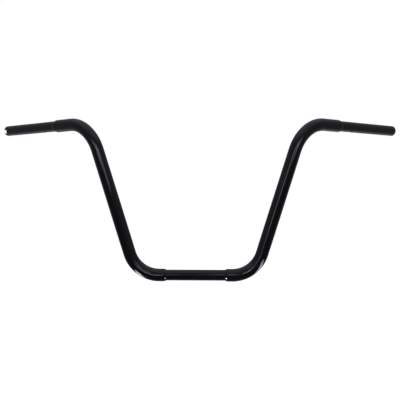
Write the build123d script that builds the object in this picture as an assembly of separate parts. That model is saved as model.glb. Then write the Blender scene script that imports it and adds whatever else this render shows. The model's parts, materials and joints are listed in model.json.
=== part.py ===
from build123d import *
import math
import os

# Ape hanger handlebar, a weldment of five steel tubes. Millimetres and degrees.
# +X runs along the clamp tube to the clutch side, +Y back to the rider, +Z up.
# The origin is the middle of the clamp tube.

# Slim tubes: the clamp tube and the two grip tubes
slim_od = 25.4
slim_wall = 3.05

# Riser tubes, whose ends sleeve over a turned spigot on each slim tube
riser_wall = 3.0
spigot_step = 0.7
spigot_gap = 0.1

# The bar's line, from its middle outwards
clamp_length = 137.0
foot_run = 16.8
lower_bend_radius = 73.0
upright_lean = 17.5
rise = 355.6
upper_bend_radius = 84.0
grip_sweep = 42.0
shoulder_run = 59.0
grip_length = 207.0

# Edges: each riser end is turned to a taper that leads down to the slim tube
rim_taper = 5.0
rim_drop = 2.0
end_chamfer = 0.8

# Seat reamed in each bar end
ream_allowance = 0.3
ream_length = 75.0

# Notch in the throttle side's rim, which keys the twist grip's sensor
notch_width = 8.5
notch_depth = 10.0
notch_corner = 1.5
notch_droop = 12.0

# Slots for the wires: one under each grip tube, one at the back of the clamp tube
grip_slot_length = 20.0
grip_slot_width = 10.0
grip_slot_from_rim = 39.0
exit_slot_length = 30.0
exit_slot_width = 12.0

# Radii that follow from the tubes and their fits
slim_radius = slim_od / 2
slim_bore_radius = slim_radius - slim_wall
riser_bore_radius = slim_radius - spigot_step
riser_radius = riser_bore_radius + riser_wall
spigot_radius = riser_bore_radius - spigot_gap
ream_radius = slim_bore_radius + ream_allowance

# Directions of the upright and of the grip on the clutch side
lean = math.radians(upright_lean)
sweep_back = math.radians(grip_sweep)
upright_direction = Vector(math.sin(lean), 0, math.cos(lean))
grip_direction = Vector(math.cos(sweep_back), math.sin(sweep_back), 0)


def tangent_length(radius, before, after):
    """Length that a bend of this radius takes from each of the two straight lines it joins."""
    return radius * math.tan(math.radians(before.get_angle(after)) / 2)


# Points of the bar's line on the clutch side
lower_tangent = tangent_length(lower_bend_radius, Vector(1, 0, 0), upright_direction)
upper_tangent = tangent_length(upper_bend_radius, upright_direction, grip_direction)
foot_rim = Vector(clamp_length / 2, 0, 0)
lower_corner = foot_rim + Vector(foot_run + lower_tangent, 0, 0)
upper_corner = lower_corner + upright_direction * (rise / math.cos(lean))
grip_rim = upper_corner + grip_direction * (upper_tangent + shoulder_run)
grip_frame = Plane(origin=grip_rim, x_dir=(0, 0, 1), z_dir=grip_direction)


def riser():
    """The bent tube of the clutch side, with both ends tapered on the outside."""
    line = FilletPolyline(
        foot_rim,
        lower_corner,
        upper_corner,
        grip_rim,
        radius=[lower_bend_radius, upper_bend_radius],
    )
    start = Plane(origin=line @ 0, z_dir=line % 0)
    section = start * (Circle(riser_radius) - Circle(riser_bore_radius))
    tube = sweep(section, path=line)
    for rim in (foot_rim, grip_rim):
        end = tube.faces().filter_by(GeomType.PLANE).sort_by_distance(rim)[0]
        tube = chamfer(end.outer_wire().edges(), rim_drop, rim_taper, reference=end)
    return tube


def rod(radius, low, high):
    """A cylinder on the Z axis between two heights."""
    return Pos(0, 0, low) * Cylinder(radius, high - low, align=(Align.CENTER, Align.CENTER, Align.MIN))


def wire_slot(length, width, toward):
    """A cutter for a slot along Z through the wall that faces the given direction."""
    face = Plane(origin=(0, 0, 0), x_dir=(0, 0, 1), z_dir=toward)
    return extrude(face * SlotOverall(length, width), slim_od)


def grip_tube(notched):
    """A grip tube on the Z axis, with its rim seat at the origin, +X up and its outer end at +Z."""
    body = rod(slim_radius, 0, grip_length)
    outer_edge = body.edges().filter_by(GeomType.CIRCLE).sort_by(Axis.Z)[-1]
    tube = chamfer(outer_edge, end_chamfer) + rod(spigot_radius, -shoulder_run, 0)
    tube -= rod(slim_bore_radius, -shoulder_run, grip_length)
    tube -= rod(ream_radius, grip_length - ream_length, grip_length)
    tube -= Pos(0, 0, grip_slot_from_rim) * wire_slot(grip_slot_length, grip_slot_width, (-1, 0, 0))
    if notched:
        tube -= rim_notch()
    return tube


def rim_notch():
    """A cutter for the notch, open at the tube's outer end and a little below its forward side."""
    reach = 2 * notch_depth
    outline = Rectangle(notch_width, reach)
    outline = fillet(outline.vertices(), notch_corner)
    forward = Plane(origin=(0, 0, grip_length - notch_depth + reach / 2), x_dir=(1, 0, 0), z_dir=(0, 1, 0))
    return Rot(0, 0, notch_droop) * extrude(forward * outline, slim_od)


def clamp_tube():
    """The clamp tube on the X axis, with a spigot at each end and the wires' way out at the back."""
    half = clamp_length / 2
    tube = rod(slim_radius, -half, half) + rod(spigot_radius, -half - foot_run, half + foot_run)
    tube -= rod(slim_bore_radius, -half - foot_run, half + foot_run)
    tube -= wire_slot(exit_slot_length, exit_slot_width, (0, 1, 0))
    return Plane(origin=(0, 0, 0), x_dir=(0, 0, -1), z_dir=(1, 0, 0)) * tube


clutch_side_riser = riser()
nodes = {
    "clamp_tube": clamp_tube(),
    "clutch_side_riser": clutch_side_riser,
    "throttle_side_riser": mirror(clutch_side_riser, about=Plane.YZ),
    "clutch_side_grip_tube": grip_frame * grip_tube(notched=False),
    "throttle_side_grip_tube": mirror(grip_frame * grip_tube(notched=True), about=Plane.YZ),
}

os.makedirs("parts", exist_ok=True)
for name, shape in nodes.items():
    export_step(shape, f"parts/{name}.step")
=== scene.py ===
import bmesh
import bpy
import json
import math
from mathutils import Matrix, Vector


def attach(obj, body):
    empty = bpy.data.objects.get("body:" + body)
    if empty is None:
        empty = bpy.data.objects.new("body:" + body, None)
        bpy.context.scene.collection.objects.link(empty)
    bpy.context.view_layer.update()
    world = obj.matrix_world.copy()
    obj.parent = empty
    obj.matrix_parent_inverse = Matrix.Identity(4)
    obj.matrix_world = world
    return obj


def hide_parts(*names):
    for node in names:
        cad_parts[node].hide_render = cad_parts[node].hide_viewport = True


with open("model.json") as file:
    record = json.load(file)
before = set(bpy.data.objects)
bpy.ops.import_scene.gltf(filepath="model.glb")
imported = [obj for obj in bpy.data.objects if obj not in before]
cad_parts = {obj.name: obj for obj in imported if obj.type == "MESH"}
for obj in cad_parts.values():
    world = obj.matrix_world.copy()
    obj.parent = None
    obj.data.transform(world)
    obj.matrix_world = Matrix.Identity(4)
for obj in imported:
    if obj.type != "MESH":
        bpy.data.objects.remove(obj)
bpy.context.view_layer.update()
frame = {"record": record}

# Ape hanger handlebar, gloss black. Metres, with +X to the clutch side, +Y back to the rider, +Z up.

MM = 0.001
mounts = {mount["name"]: mount for mount in frame["record"]["mounts"]}
clamp_seat = mounts["clamp_seat"]["dims"]
grip_seat = mounts["clutch_side_grip_seat"]
end_bore = mounts["clutch_side_end_bore"]

# Riser tubes, whose ends taper down to the slim tubes
riser_bore_radius = 12.0 * MM
riser_wall = 3.0 * MM
riser_radius = riser_bore_radius + riser_wall
rim_taper = 5.0 * MM
rim_drop = 2.0 * MM
rim_ease = 1.5 * MM
rim_round = 0.3 * MM

# Slim tubes: the clamp tube and the two grip tubes, with spigots that slide into the risers
slim_radius = clamp_seat["r_mm"] * MM
slim_wall = 3.05 * MM
slim_bore_radius = slim_radius - slim_wall
spigot_gap = 0.1 * MM
spigot_radius = riser_bore_radius - spigot_gap
ream_radius = end_bore["dims"]["r_mm"] * MM
ream_length = end_bore["dims"]["length_mm"] * MM
end_round = 0.8 * MM
grip_length = grip_seat["dims"]["length_mm"] * MM + end_round

# The bar's line on the clutch side, from its middle outwards
clamp_length = clamp_seat["length_mm"] * MM
foot_run = 16.8 * MM
lower_bend_radius = 73.0 * MM
upright_lean = math.radians(17.5)
rise = grip_seat["pos_m"][2]
upper_bend_radius = 84.0 * MM
shoulder_run = 59.0 * MM
foot_direction = Vector((1, 0, 0))
upright_direction = Vector((math.sin(upright_lean), 0, math.cos(upright_lean)))
grip_direction = Vector(grip_seat["axis"]).normalized()

# Notch in the throttle side's rim, and the slots for the wires
notch_width = 8.5 * MM
notch_depth = 10.0 * MM
notch_corner = 1.5 * MM
notch_droop = math.radians(12.0)
grip_slot_length = 20.0 * MM
grip_slot_width = 10.0 * MM
grip_slot_from_rim = 39.0 * MM
exit_slot_length = 30.0 * MM
exit_slot_width = 12.0 * MM

# How finely the tubes are divided, and how far from an eased edge the next ring stands
tube_sides = 192
riser_sides = 96
bend_steps = 48
round_segments = 5
slot_segments = 15
rim_support = 2 * rim_ease
end_support = 3 * end_round
crease_angle = math.radians(30)
nearly = 0.005 * MM

# How far the coat reaches into an open end, and where bare steel begins
coated_depth = 14.0 * MM
bare_depth = 34.0 * MM
bare_layer = "bare_steel"


def tangent_length(radius, before, after):
    """Length that a bend of this radius takes from each of the two straight lines it joins."""
    return radius * math.tan(before.angle(after) / 2)


lower_tangent = tangent_length(lower_bend_radius, foot_direction, upright_direction)
upper_tangent = tangent_length(upper_bend_radius, upright_direction, grip_direction)
foot_rim = Vector((clamp_length / 2, 0, 0))
lower_corner = foot_rim + foot_direction * (foot_run + lower_tangent)
upper_corner = lower_corner + upright_direction * (rise / math.cos(upright_lean))
grip_rim = upper_corner + grip_direction * (upper_tangent + shoulder_run)


def axes(origin, x_axis, y_axis, z_axis):
    """The matrix that stands a piece's own axes on these directions."""
    turn = Matrix((x_axis, y_axis, z_axis)).transposed()
    return Matrix.Translation(origin) @ turn.to_4x4()


up = Vector((0, 0, 1))
grip_axes = axes(grip_rim, up, grip_direction.cross(up), grip_direction)
clamp_axes = axes(Vector(), -up, Vector((0, 1, 0)), foot_direction)


def edges_and_faces(drawn):
    """The edges and faces of a newly drawn end. Given both, the next operator leaves no wall inside."""
    return [part for part in drawn if not isinstance(part, bmesh.types.BMVert)]


def pull(bm, end, offset):
    """Draws the end of a tube out along a straight run, and gives its new end."""
    drawn = bmesh.ops.extrude_face_region(bm, geom=end)["geom"]
    points = [part for part in drawn if isinstance(part, bmesh.types.BMVert)]
    bmesh.ops.translate(bm, verts=points, vec=offset)
    return edges_and_faces(drawn)


def bend(bm, end, corner, radius, before, after):
    """Draws the end of a tube round a bend, and gives its new end."""
    start = corner - before * tangent_length(radius, before, after)
    axis = before.cross(after).normalized()
    drawn = bmesh.ops.spin(
        bm,
        geom=end,
        cent=start + axis.cross(before) * radius,
        axis=axis,
        angle=before.angle(after),
        steps=bend_steps,
    )["geom_last"]
    return edges_and_faces(drawn)


def ring(bm, centre, radius):
    """The vertices that lie at this radius about this centre."""
    return {vertex for vertex in bm.verts if abs((vertex.co - centre).length - radius) < nearly}


def round_edge(bm, centre, radius, size):
    """Rounds the edge of a tube that lies at this radius about this centre."""
    on_edge = ring(bm, centre, radius)
    edges = [edge for edge in bm.edges if on_edge.issuperset(edge.verts)]
    bmesh.ops.bevel(
        bm,
        geom=edges,
        offset=size,
        offset_type="OFFSET",
        segments=round_segments,
        profile=0.5,
        affect="EDGES",
        material=-1,
    )


def taper_end(bm, rim, inward):
    """Tapers the end of a riser, and eases the taper's beginning and its tip."""
    tip_radius = riser_radius - rim_drop
    tip = list(ring(bm, rim, riser_radius))
    share = tip_radius / riser_radius
    bmesh.ops.scale(bm, vec=(share, share, share), space=Matrix.Translation(-rim), verts=tip)
    round_edge(bm, rim + inward * rim_taper, riser_radius, rim_ease)
    round_edge(bm, rim, tip_radius, rim_round)


def riser():
    """The clutch side's riser: a ring carried along the bar's line, with both ends tapered."""
    bm = bmesh.new()
    facing = Matrix.Translation(foot_rim) @ Matrix.Rotation(math.pi / 2, 4, "Y")
    for radius in (riser_radius, riser_bore_radius):
        bmesh.ops.create_circle(bm, segments=riser_sides, radius=radius, matrix=facing)
    bmesh.ops.bridge_loops(bm, edges=bm.edges[:])
    end = bm.edges[:] + bm.faces[:]
    straight = (upper_corner - lower_corner).length - lower_tangent - upper_tangent
    taper_runs = (rim_taper, rim_support)
    for run in (*taper_runs, foot_run - sum(taper_runs)):
        end = pull(bm, end, foot_direction * run)
    end = bend(bm, end, lower_corner, lower_bend_radius, foot_direction, upright_direction)
    end = pull(bm, end, upright_direction * straight)
    end = bend(bm, end, upper_corner, upper_bend_radius, upright_direction, grip_direction)
    for run in (shoulder_run - sum(taper_runs), *reversed(taper_runs)):
        end = pull(bm, end, grip_direction * run)
    bmesh.ops.recalc_face_normals(bm, faces=bm.faces[:])
    taper_end(bm, foot_rim, foot_direction)
    taper_end(bm, grip_rim, -grip_direction)
    return bm


def spun_tube(half_section):
    """A tube on its own Z axis, spun from the (height, radius, bare steel) corners of its wall."""
    bm = bmesh.new()
    bare = bm.verts.layers.float.new(bare_layer)
    corners = []
    for height, radius, steel in half_section:
        corner = bm.verts.new((radius, 0, height))
        corner[bare] = steel
        corners.append(corner)
    for start, end in zip(corners, corners[1:] + corners[:1]):
        bm.edges.new((start, end))
    bmesh.ops.spin(
        bm,
        geom=bm.verts[:] + bm.edges[:],
        cent=(0, 0, 0),
        axis=(0, 0, 1),
        angle=2 * math.pi,
        steps=tube_sides,
        use_merge=True,
    )
    bmesh.ops.recalc_face_normals(bm, faces=bm.faces[:])
    return bm


def grip_tube():
    """A grip tube with its rim seat at the origin, +X up and its outer end at +Z."""
    bm = spun_tube(
        (
            (-shoulder_run, slim_bore_radius, 1),
            (-shoulder_run, spigot_radius, 1),
            (0, spigot_radius, 0),
            (0, slim_radius, 0),
            (grip_length - end_support, slim_radius, 0),
            (grip_length, slim_radius, 0),
            (grip_length, ream_radius, 0),
            (grip_length - coated_depth, ream_radius, 0),
            (grip_length - bare_depth, ream_radius, 1),
            (grip_length - ream_length, ream_radius, 1),
            (grip_length - ream_length, slim_bore_radius, 1),
        )
    )
    round_edge(bm, Vector((0, 0, grip_length)), slim_radius, end_round)
    return bm


def clamp_tube():
    """The clamp tube on its own Z axis, with a spigot at each end."""
    half = clamp_length / 2
    tip = half + foot_run
    return spun_tube(
        (
            (-tip, slim_bore_radius, 1),
            (-tip, spigot_radius, 1),
            (-half, spigot_radius, 0),
            (-half, slim_radius, 0),
            (half, slim_radius, 0),
            (half, spigot_radius, 0),
            (tip, spigot_radius, 1),
            (tip, slim_bore_radius, 1),
        )
    )


def wall_cutter(length, width, corner, height, turn):
    """A block with rounded corners, to cut a slot along Z through the wall at +X turned about Z."""
    bm = bmesh.new()
    size = Matrix.Diagonal((2 * slim_radius, width, length, 1))
    bmesh.ops.create_cube(bm, size=1, matrix=Matrix.Translation((slim_radius, 0, 0)) @ size)
    through = [edge for edge in bm.edges if abs(edge.verts[0].co.x - edge.verts[1].co.x) > slim_radius]
    bmesh.ops.bevel(
        bm,
        geom=through,
        offset=corner,
        offset_type="OFFSET",
        segments=slot_segments,
        profile=0.5,
        affect="EDGES",
        material=-1,
    )
    place = Matrix.Translation((0, 0, height)) @ Matrix.Rotation(turn, 4, "Z")
    bmesh.ops.transform(bm, matrix=place, verts=bm.verts[:])
    bmesh.ops.recalc_face_normals(bm, faces=bm.faces[:])
    return bm


def grip_slot():
    """The cutter for the slot under a grip tube, on the side away from +X."""
    corner = grip_slot_width / 2 - nearly
    return wall_cutter(grip_slot_length, grip_slot_width, corner, grip_slot_from_rim, math.pi)


def rim_notch():
    """The cutter for the notch in the end of a grip tube, a little below its forward side, +Y."""
    turn = math.pi / 2 + notch_droop
    return wall_cutter(2 * notch_depth, notch_width, notch_corner, grip_length, turn)


def exit_slot():
    """The cutter for the wires' way out at the back of the clamp tube, +Y."""
    corner = exit_slot_width / 2 - nearly
    return wall_cutter(exit_slot_length, exit_slot_width, corner, 0, math.pi / 2)


def stand(name, bm):
    """An object with this mesh, at the origin."""
    mesh = bpy.data.meshes.new(name)
    bm.to_mesh(mesh)
    bm.free()
    piece = bpy.data.objects.new(name, mesh)
    bpy.context.scene.collection.objects.link(piece)
    return piece


def cut(piece, cutters):
    """Takes the cutters out of a piece, for good."""
    tools = [stand("cutter", bm) for bm in cutters]
    for tool in tools:
        away = piece.modifiers.new("cut", "BOOLEAN")
        away.operation = "DIFFERENCE"
        away.solver = "EXACT"
        away.object = tool
    evaluated = piece.evaluated_get(bpy.context.evaluated_depsgraph_get())
    finished = bpy.data.meshes.new_from_object(evaluated)
    piece.modifiers.clear()
    piece.data = finished
    for tool in tools:
        bpy.data.objects.remove(tool)


class Wire:
    """A socket of a node tree, on which sums are written as plain Python."""

    def __init__(self, tree, socket):
        self.tree = tree
        self.socket = socket

    def node(self, kind, settings=None, output=0, **inputs):
        """Adds a node, with its settings and then its sockets by name or by n and a number."""
        made = self.tree.nodes.new(kind)
        for name, value in (settings or {}).items():
            setattr(made, name, value)
        for name, value in inputs.items():
            key = int(name[1:]) if name[0] == "n" and name[1:].isdigit() else name.replace("_", " ")
            plug(self.tree, made.inputs[key], value)
        return Wire(self.tree, made.outputs[output])

    def maths(self, operation, first, second):
        """Adds a Math node."""
        return self.node("ShaderNodeMath", {"operation": operation}, n0=first, n1=second)

    def __add__(self, other):
        return self.maths("ADD", self, other)

    def __radd__(self, other):
        return self.maths("ADD", other, self)

    def __sub__(self, other):
        return self.maths("SUBTRACT", self, other)

    def __rsub__(self, other):
        return self.maths("SUBTRACT", other, self)

    def __mul__(self, other):
        return self.maths("MULTIPLY", self, other)

    def __rmul__(self, other):
        return self.maths("MULTIPLY", other, self)

    def ramp(self, low, high, start, end):
        """Goes smoothly from start to end as this value goes from low to high."""
        settings = {"interpolation_type": "SMOOTHSTEP"}
        return self.node("ShaderNodeMapRange", settings, n0=self, n1=low, n2=high, n3=start, n4=end)

    def mix(self, first, second):
        """Goes from the first colour to the second as this value goes from 0 to 1."""
        settings = {"data_type": "RGBA"}
        return self.node("ShaderNodeMix", settings, output=2, n0=self, n6=first, n7=second)


def plug(tree, socket, value):
    """Links a wire to a socket, or sets a plain value on it."""
    if isinstance(value, Wire):
        tree.links.new(value.socket, socket)
    else:
        socket.default_value = value


# The finish: a deep black pigment under a clear gloss, with a fine orange peel and a faint haze
pigment = (0.0016, 0.0016, 0.0020, 1)
pigment_bloom = (0.0030, 0.0030, 0.0038, 1)
steel = (0.16, 0.15, 0.145, 1)
peel_scale = 420.0
peel_strength = 0.03
peel_depth = 0.4 * MM
haze_scale = 34.0
speck_scale = 2600.0
gloss_ior = 1.5


def gloss_black():
    """The coat on all five tubes, with bare steel where a mesh's own layer says so."""
    material = bpy.data.materials.new("gloss_black_coat")
    material.use_nodes = True
    tree = material.node_tree
    shader = tree.nodes["Principled BSDF"]
    place = Wire(tree, tree.nodes.new("ShaderNodeTexCoord").outputs["Object"])
    bare_node = tree.nodes.new("ShaderNodeAttribute")
    bare_node.attribute_name = bare_layer
    bare = Wire(tree, bare_node.outputs["Fac"])

    peel = place.node("ShaderNodeTexNoise", Vector=place, Scale=peel_scale, Detail=1.0)
    haze = place.node("ShaderNodeTexNoise", Vector=place, Scale=haze_scale, Detail=3.0)
    specks = place.node("ShaderNodeTexNoise", Vector=place, Scale=speck_scale, Detail=2.0)
    coat_colour = haze.ramp(0.35, 0.7, 0.0, 1.0).mix(pigment, pigment_bloom)
    coat_roughness = haze.ramp(0.3, 0.7, 0.04, 0.06) + specks.ramp(0.62, 0.8, 0.0, 0.02)
    steel_roughness = specks.ramp(0.3, 0.7, 0.32, 0.5)

    plug(tree, shader.inputs["Base Color"], bare.mix(coat_colour, steel))
    plug(tree, shader.inputs["Metallic"], bare)
    plug(tree, shader.inputs["Roughness"], coat_roughness + bare * (steel_roughness - coat_roughness))
    relief = place.node("ShaderNodeBump", Strength=peel_strength, Distance=peel_depth, Height=peel)
    plug(tree, shader.inputs["Normal"], relief)
    shader.inputs["IOR"].default_value = gloss_ior
    return material


def dress(piece, node):
    """Gives a finished piece its shading and its finish, and lets it stand for its CAD node."""
    piece.data.shade_smooth()
    piece.data.set_sharp_from_angle(angle=crease_angle)
    piece.data.materials.clear()
    piece.data.materials.append(finish)
    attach(piece, "root")
    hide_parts(node)


def mirrored(bm):
    """The same piece on the throttle side."""
    bmesh.ops.scale(bm, vec=(-1, 1, 1), verts=bm.verts[:])
    bmesh.ops.recalc_face_normals(bm, faces=bm.faces[:])
    return bm


def settle(piece, place, flip):
    """Applies a piece's place to its mesh, on the throttle side if it is flipped."""
    piece.data.transform(Matrix.Scale(-1, 4, foot_direction) @ place if flip else place)
    if flip:
        piece.data.flip_normals()


finish = gloss_black()
for side in ("clutch", "throttle"):
    throttle_side = side == "throttle"
    tube = stand(f"{side}_side_riser_tube", mirrored(riser()) if throttle_side else riser())
    dress(tube, f"{side}_side_riser")
    grip = stand(f"{side}_side_grip_end", grip_tube())
    cut(grip, [grip_slot(), rim_notch()] if throttle_side else [grip_slot()])
    settle(grip, grip_axes, throttle_side)
    dress(grip, f"{side}_side_grip_tube")
middle = stand("clamp_stretch", clamp_tube())
cut(middle, [exit_slot()])
settle(middle, clamp_axes, False)
dress(middle, "clamp_tube")

# Floor: plain, pale and out of the gloss, and clear from below
floor_height = -0.50
floor_radius = 12.0
floor_sides = 64
white = (1, 1, 1, 1)
paper_white = (0.9, 0.9, 0.9, 1)
paper_roughness = 0.9
paper_glow = 0.8


def white_paper():
    """Paper that is lit a little from within, so that it stays white, and shows only its upper side."""
    material = bpy.data.materials.new("white_paper")
    material.use_nodes = True
    tree = material.node_tree
    shader = tree.nodes["Principled BSDF"]
    shader.inputs["Base Color"].default_value = paper_white
    shader.inputs["Roughness"].default_value = paper_roughness
    shader.inputs["Emission Color"].default_value = white
    shader.inputs["Emission Strength"].default_value = paper_glow
    paper = Wire(tree, shader.outputs["BSDF"])
    below = Wire(tree, tree.nodes.new("ShaderNodeNewGeometry").outputs["Backfacing"])
    clear = below.node("ShaderNodeBsdfTransparent")
    one_sided = below.node("ShaderNodeMixShader", n0=below, n1=paper, n2=clear)
    plug(tree, tree.nodes["Material Output"].inputs["Surface"], one_sided)
    return material


disc = bmesh.new()
ground = Matrix.Translation((0, 0, floor_height))
bmesh.ops.create_circle(disc, cap_ends=True, segments=floor_sides, radius=floor_radius, matrix=ground)
floor = stand("floor", disc)
floor.data.materials.append(white_paper())
floor.visible_glossy = False
floor.visible_shadow = False
floor.visible_diffuse = False

# Studio lamps: sizes and places in metres, angles in degrees. The camera doesn't see them.
studio_tint = (1.0, 0.97, 1.15)
bar_middle = Vector((0, 0, rise / 2))
low_height = -0.42
rim_light_depth = -0.174
rim_light_size = 0.15
rim_light_beam = 18


def direction(azimuth, elevation):
    """The way from the bar to a light: azimuth 0 is in front, and grows to the clutch side."""
    az = math.radians(azimuth)
    el = math.radians(elevation)
    return Vector((math.sin(az) * math.cos(el), -math.cos(az) * math.cos(el), math.sin(el)))


def lamp(name, place, wide, high, radiance, turn=0, aim=bar_middle, beam=180):
    """A soft box that faces its aim. A narrower beam keeps the same radiance straight ahead."""
    data = bpy.data.lights.new(name, "AREA")
    data.shape = "RECTANGLE"
    data.size = wide
    data.size_y = high
    half_beam = math.radians(beam / 2)
    gathered = 1 - half_beam / math.tan(half_beam)
    data.spread = 2 * half_beam
    data.energy = radiance * math.pi * wide * high * gathered
    data.color = studio_tint
    light = bpy.data.objects.new(name, data)
    face = (place - aim).to_track_quat("Z", "Y").to_matrix().to_4x4()
    light.matrix_world = Matrix.Translation(place) @ face @ Matrix.Rotation(math.radians(turn), 4, "Z")
    light.visible_camera = False
    bpy.context.scene.collection.objects.link(light)


def span(angle, distance):
    """The width that a panel at this distance needs to be seen under this angle."""
    return 2 * distance * math.tan(math.radians(angle / 2))


def bank(name, azimuth, elevation, distance, wide, high, radiance, turn):
    """A soft box in this direction from the bar, as wide and high from there as these angles."""
    place = bar_middle + direction(azimuth, elevation) * distance
    lamp(name, place, span(wide, distance), span(high, distance), radiance, turn)


def low_box(name, x, y, wide, deep, radiance, turn):
    """A soft box under the bar that shines straight up."""
    place = Vector((x, y, low_height))
    lamp(name, place, wide, deep, radiance, turn, aim=place + up)


def rim_light(name, x, radiance):
    """A narrow light under the bar that glints on the clamp rim of the other side."""
    place = Vector((x, rim_light_depth, low_height))
    rim = Vector((math.copysign(clamp_length / 2, -x), -slim_radius, 0))
    lamp(name, place, rim_light_size, rim_light_size, radiance, aim=rim, beam=rim_light_beam)


# Banks in front, for the long streaks on the uprights
bank("left_bank", -12, 6.2, distance=14, wide=17.9, high=7.2, radiance=1.56, turn=14.2)
bank("right_bank", 11.1, 13.8, distance=2.4, wide=21.7, high=8.1, radiance=1.4, turn=21.2)
bank("upright_strip", 2.4, 14.7, distance=14, wide=4.2, high=23.1, radiance=0.77, turn=-18.4)

# Near lights, for the broad tops of those streaks
lamp(
    "right_elbow_light",
    Vector((0.476, -0.46, 0.406)),
    wide=0.38,
    high=0.307,
    radiance=2.535,
    aim=Vector((0.261, 0, 0.339)),
    beam=37.7,
)
lamp(
    "left_elbow_light",
    Vector((-0.398, -0.346, 0.371)),
    wide=0.553,
    high=0.128,
    radiance=1.79,
    turn=3.1,
    aim=Vector((-0.345, 0, 0.177)),
    beam=84.6,
)

# Low lights, for the bends, the undersides of the ends and the rims
lamp("left_foot_light", Vector((-0.301, -2.0, -0.176)), wide=0.161, high=0.112, radiance=7.5)
lamp("right_foot_light", Vector((0.198, -2.0, -0.177)), wide=0.052, high=0.094, radiance=16.6)
low_box("left_low_box", -0.44, 0.1, wide=0.162, deep=0.5, radiance=7.6, turn=12.7)
low_box("right_low_box", 0.732, -0.037, wide=0.266, deep=1.14, radiance=4.47, turn=-20.5)
rim_light("left_rim_light", 0.216, radiance=17.0)
rim_light("right_rim_light", -0.2, radiance=100.0)
lamp("rear_low_bank", Vector((0, 2.0, -0.25)), wide=1.5, high=0.42, radiance=1.5)

# Room: white for the eye. The gloss sees softer levels, which change with the depth of its way, from
# -1 in front of the bar to 1 behind it, and with its height, from -1 below to 1 above.
world = bpy.data.worlds.new("studio")
bpy.context.scene.world = world
world.use_nodes = True
tree = world.node_tree
room = tree.nodes["Background"]
way = Wire(tree, tree.nodes.new("ShaderNodeTexCoord").outputs["Generated"])
across = way.node("ShaderNodeSeparateXYZ", Vector=way)
depth = Wire(tree, across.socket.node.outputs["Y"])
height = Wire(tree, across.socket.node.outputs["Z"])
all_round = height.ramp(-0.3, 0.41, 0.076, 0.191)
ceiling = height.ramp(0.55, 0.835, 0.0, 0.286)
sides = depth.ramp(-0.9, -0.4, 0.0, 1.0) * height.ramp(-0.255, -0.175, 0.0, 0.043)
rear_wall = depth.ramp(0.1, 0.5, 0.0, 1.0) * height.ramp(0.0, 0.07, 0.04, 0.0)
rear_ground = depth.ramp(0.3, 0.75, 0.0, 1.0) * height.ramp(-0.757, -0.424, 0.85, 0.0)
low_band = height.ramp(-0.76, -0.46, 0.0, 1.0) * height.ramp(-0.19, 0.06, 0.112, 0.0)
low_rear = depth.ramp(-0.15, 0.15, 0.0, 1.0) * low_band
glow = all_round + ceiling + sides + rear_wall + rear_ground + low_rear
studio = glow.node("ShaderNodeVectorMath", {"operation": "SCALE"}, n0=studio_tint)
plug(tree, studio.socket.node.inputs["Scale"], glow)
seen = Wire(tree, tree.nodes.new("ShaderNodeLightPath").outputs["Is Camera Ray"])
plug(tree, room.inputs["Color"], seen.mix(studio, white))

# Camera, in front of the bar and level with its middle
yaw = math.radians(1.609)
pitch = math.radians(-0.254)
roll = math.radians(0.127)
stand_off = Vector((0.010107, -2.0, 0.175531))
turn = Matrix.Rotation(yaw, 4, "Z") @ Matrix.Rotation(-pitch, 4, "X") @ Matrix.Rotation(-roll, 4, "Y")
lens = bpy.data.cameras.new("camera")
lens.sensor_width = 36.0
lens.lens = 77.04
lens.clip_end = 100.0
camera = bpy.data.objects.new("camera", lens)
camera.matrix_world = turn @ Matrix.Translation(stand_off) @ Matrix.Rotation(math.pi / 2, 4, "X")
bpy.context.scene.collection.objects.link(camera)
bpy.context.scene.camera = camera
bpy.context.scene.view_settings.view_transform = "Standard"
